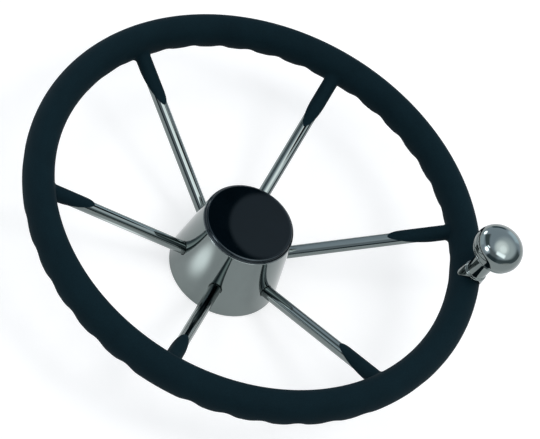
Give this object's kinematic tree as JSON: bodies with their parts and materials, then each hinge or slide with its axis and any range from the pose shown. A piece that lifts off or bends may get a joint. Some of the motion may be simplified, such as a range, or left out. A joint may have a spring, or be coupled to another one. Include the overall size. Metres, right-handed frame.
{
  "type": "boat steering wheel",
  "caption": "Dished boat steering wheel: oval foam grip with finger ridges, polished steel spokes, conical hub with taper bore, push-in cap and a turning spinner knob.",
  "frame": {"origin": "on the helm shaft's axis, at the hub's back face", "axes": "+Z along the shaft axis towards the driver, +X along the first spoke"},
  "size_m": [0.394, 0.4035, 0.1642],
  "materials": {
    "grip_foam": "matt self-skinned foam, blue-black, faint grain",
    "cap_plastic": "gloss black moulding",
    "bearing_plastic": "black acetal",
    "welded_steel": "as-drawn stainless tube, inside the foam",
    "machined_steel": "machined stainless steel",
    "polished_steel": "mirror-polished stainless steel"
  },
  "bodies": {
    "wheel": {"rim_grip": "grip_foam", "rim_ring": "welded_steel", "hub_cone": "polished_steel", "hub_boss": "machined_steel", "hub_back_plate": "machined_steel", "spoke_1": "polished_steel", "spoke_2": "polished_steel", "spoke_3": "polished_steel", "spoke_4": "polished_steel", "spoke_5": "polished_steel", "spoke_6": "polished_steel", "knob_foot": "polished_steel", "knob_bolt": "machined_steel", "knob_saddle_washer": "machined_steel", "knob_spindle": "machined_steel", "knob_thrust_washer": "bearing_plastic", "knob_clip": "machined_steel"},
    "cap": {"center_cap": "cap_plastic"},
    "knob": {"knob_collar": "polished_steel", "knob_ball": "polished_steel", "knob_bushing": "bearing_plastic"}
  },
  "joints": [
    {"name": "knob_spin", "type": "hinge", "parent": "wheel", "child": "knob", "pos_m": [-0.04415, 0.18531, 0.14715], "axis": [-0.0258, 0.1084, 0.9938], "continuous": true},
    {"name": "cap_pull", "type": "slide", "parent": "wheel", "child": "cap", "axis": [0, 0, 1], "range_m": [0, 0.03]}
  ]
}
